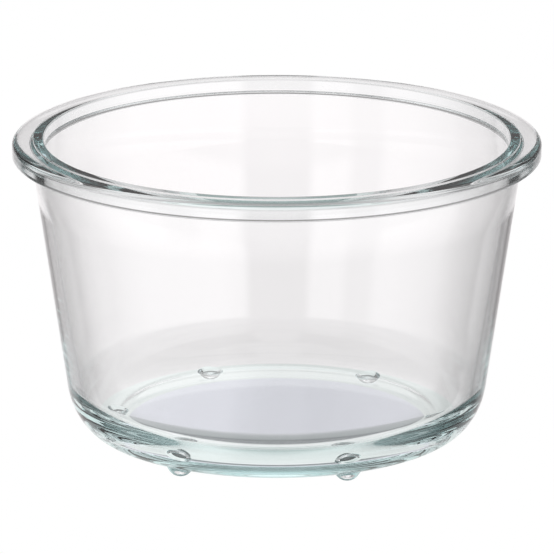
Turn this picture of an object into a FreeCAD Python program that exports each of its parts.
"""Round pressed-glass food storage container, without a lid.

Millimetres, +Z up. The origin is the centre of the plane that the six feet rest on.
The vessel is one revolved wall: a stepped rim flange for a press-on lid, a tapered
thin wall, a thick rounded base corner, a flat inner floor and a flat underside.
Six domed feet on one pitch circle carry it clear of the table.
+X is right and +Y is back.
"""

import FreeCAD, Part
import math
import os

Vector = FreeCAD.Vector
ORIGIN = Vector(0, 0, 0)
Z_AXIS = Vector(0, 0, 1)

HEIGHT = 82.75            # resting plane to the top of the rim crest

# Rim flange, with a raised crest inside a flat lid land
RIM_R = 70.0              # outside radius of the flange
RIM_DEPTH = 4.8           # rim crest to the flange underside
CREST_IN_R = 61.6         # inside edge of the crest, which is also the mouth
CREST_OUT_R = 64.4        # outside edge of the crest
CREST_STEP = 0.45         # height of the crest above the lid land
STEP_RUN = 0.1            # the step slopes outward by this much going down
STEP_ROUND = 0.2          # rounding at the foot and head of the step
MOUTH_ROUND = 0.5         # rounding of the crest's inside edge
LAND_OUT_R = 67.1         # lid land ends here and the outer edge starts to round over
RIM_TOP_ROUND = 1.35      # height of that rounding below the land
RIM_TOP_FULLNESS = 0.72   # fullness of that rounding, as a conic weight
RIM_LOW_ROUND = 0.5       # rounding between the outer edge and the underside
NECK_ROUND = 0.5          # hollow rounding between the underside and the wall

# Outside of the wall
WALL_TOP_R = 65.0         # radius where the wall meets the flange
WALL_SLOPE = 0.148        # radius lost per millimetre going down
CORNER_TOP_Z = 15.35      # the wall starts to turn in here
BASE_Z = 2.05             # flat underside of the base
BASE_R = 43.6             # the corner runs out into the underside here
CORNER_FULLNESS = 0.79    # conic weight of the corner

# Inside of the wall
FLOOR_Z = 6.75            # inner floor
INNER_SLOPE = 0.169       # radius gained per millimetre going up
INNER_REF_R = 53.05       # radius of the inner taper at INNER_REF_Z
INNER_REF_Z = 18.45
INNER_TURN_Z = 17.4       # the inner wall starts to turn in here
FLOOR_FLAT_R = 39.6       # and runs out into the flat floor here
INNER_FULLNESS = 0.76     # conic weight of that turn
MOUTH_BLEND_R = 55.0      # arc radius where the taper meets the straight mouth band

# Feet, named counterclockwise from +X as seen from above
FOOT_NAMES = ["foot_right", "foot_back_right", "foot_back_left",
              "foot_left", "foot_front_left", "foot_front_right"]
FOOT_SPACING = 360.0 / len(FOOT_NAMES)   # degrees
FOOT_PITCH_R = 43.8
FOOT_BALL_R = 3.7         # radius of the dome
FOOT_PAD_R = 0.9          # small flat at the bottom of each dome


def point(radius, z):
    """A point in the half plane y = 0, x >= 0."""
    return Vector(radius, 0, z)


class Outline:
    """Joins lines, arcs and conics end to end, with a line across each gap."""

    def __init__(self, start):
        self.start = start
        self.end = start
        self.edges = []

    def line(self, target):
        self.edges.append(Part.makeLine(self.end, target))
        self.end = target

    def arc(self, middle, target):
        self.edges.append(Part.Arc(self.end, middle, target).toShape())
        self.end = target

    def fillet(self, before, corner, after, radius):
        """An arc that rounds the corner between lines before-corner and corner-after."""
        back = (before - corner).normalize()
        ahead = (after - corner).normalize()
        bisector = (back + ahead).normalize()
        half_angle = back.getAngle(ahead) / 2
        setback = radius / math.tan(half_angle)
        middle_distance = radius / math.sin(half_angle) - radius
        self.line(corner + back * setback)
        self.arc(corner + bisector * middle_distance, corner + ahead * setback)

    def conic(self, first, corner, last, weight):
        """A conic tangent to first-corner and corner-last; more weight pulls it to the corner."""
        if (first - self.end).Length > 1e-6:
            self.line(first)
        curve = Part.BezierCurve()
        curve.setPoles([first, corner, last])
        curve.setWeight(2, weight)
        self.edges.append(curve.toShape())
        self.end = last

    def revolve(self):
        """Closes the outline and turns it once round the Z axis."""
        self.line(self.start)
        return Part.Face(Part.Wire(self.edges)).revolve(ORIGIN, Z_AXIS, 360)


def outer_radius(z):
    """Radius of the outer taper line at z."""
    return WALL_TOP_R - WALL_SLOPE * (HEIGHT - RIM_DEPTH - z)


def inner_radius(z):
    """Radius of the inner taper line at z."""
    return INNER_REF_R + INNER_SLOPE * (z - INNER_REF_Z)


def make_bowl():
    """The revolved vessel, outlined from the underside, up over the rim and down inside."""
    land_z = HEIGHT - CREST_STEP
    flange_z = HEIGHT - RIM_DEPTH
    mouth_z = INNER_REF_Z + (CREST_IN_R - INNER_REF_R) / INNER_SLOPE

    # Sharp corners of the section, before rounding
    base_corner = point(outer_radius(BASE_Z), BASE_Z)
    wall_foot = point(outer_radius(CORNER_TOP_Z), CORNER_TOP_Z)
    neck = point(WALL_TOP_R, flange_z)
    rim_low = point(RIM_R, flange_z)
    rim_top = point(RIM_R, land_z)
    land_edge = point(LAND_OUT_R, land_z)
    step_foot = point(CREST_OUT_R + STEP_RUN, land_z)
    step_head = point(CREST_OUT_R, HEIGHT)
    crest_inner = point(CREST_IN_R, HEIGHT)
    band_foot = point(CREST_IN_R, mouth_z)
    floor_corner = point(inner_radius(FLOOR_Z), FLOOR_Z)

    outline = Outline(point(0, BASE_Z))
    # Underside, base corner and outer wall
    outline.conic(point(BASE_R, BASE_Z), base_corner, wall_foot, CORNER_FULLNESS)
    # Neck, flange underside and outer edge
    outline.fillet(wall_foot, neck, rim_low, NECK_ROUND)
    outline.fillet(neck, rim_low, rim_top, RIM_LOW_ROUND)
    outline.conic(point(RIM_R, land_z - RIM_TOP_ROUND), rim_top, land_edge, RIM_TOP_FULLNESS)
    # Lid land, step and crest
    outline.fillet(land_edge, step_foot, step_head, STEP_ROUND)
    outline.fillet(step_foot, step_head, crest_inner, STEP_ROUND)
    outline.fillet(step_head, crest_inner, band_foot, MOUTH_ROUND)
    # Straight mouth band, inner taper and floor
    outline.fillet(crest_inner, band_foot, floor_corner, MOUTH_BLEND_R)
    outline.conic(point(inner_radius(INNER_TURN_Z), INNER_TURN_Z), floor_corner,
                  point(FLOOR_FLAT_R, FLOOR_Z), INNER_FULLNESS)
    outline.line(point(0, FLOOR_Z))

    bowl = outline.revolve().Solids[0]
    # Turn the seam of revolution to lie between two feet
    bowl.rotate(ORIGIN, Z_AXIS, FOOT_SPACING / 2)
    return bowl


def make_foot(angle, bowl):
    """The lower part of a ball with a flat pad, trimmed to seat on the underside."""
    ball_z = math.sqrt(FOOT_BALL_R ** 2 - FOOT_PAD_R ** 2)
    middle_angle = math.radians(-60)   # any point of the arc between the pad and ball_z
    outline = Outline(point(0, 0))
    outline.line(point(FOOT_PAD_R, 0))
    outline.arc(point(FOOT_BALL_R * math.cos(middle_angle),
                      ball_z + FOOT_BALL_R * math.sin(middle_angle)),
                point(FOOT_BALL_R, ball_z))
    outline.line(point(0, ball_z))
    dome = outline.revolve()

    turn = math.radians(angle)
    dome.translate(Vector(FOOT_PITCH_R * math.cos(turn), FOOT_PITCH_R * math.sin(turn), 0))
    # Keep the lowest piece that the cut leaves
    return min(dome.cut(bowl).Solids, key=lambda solid: solid.BoundBox.ZMin)


os.makedirs("parts", exist_ok=True)
bowl = make_bowl()
bowl.exportStep("parts/glass_bowl.step")
for i, name in enumerate(FOOT_NAMES):
    make_foot(FOOT_SPACING * i, bowl).exportStep(f"parts/{name}.step")
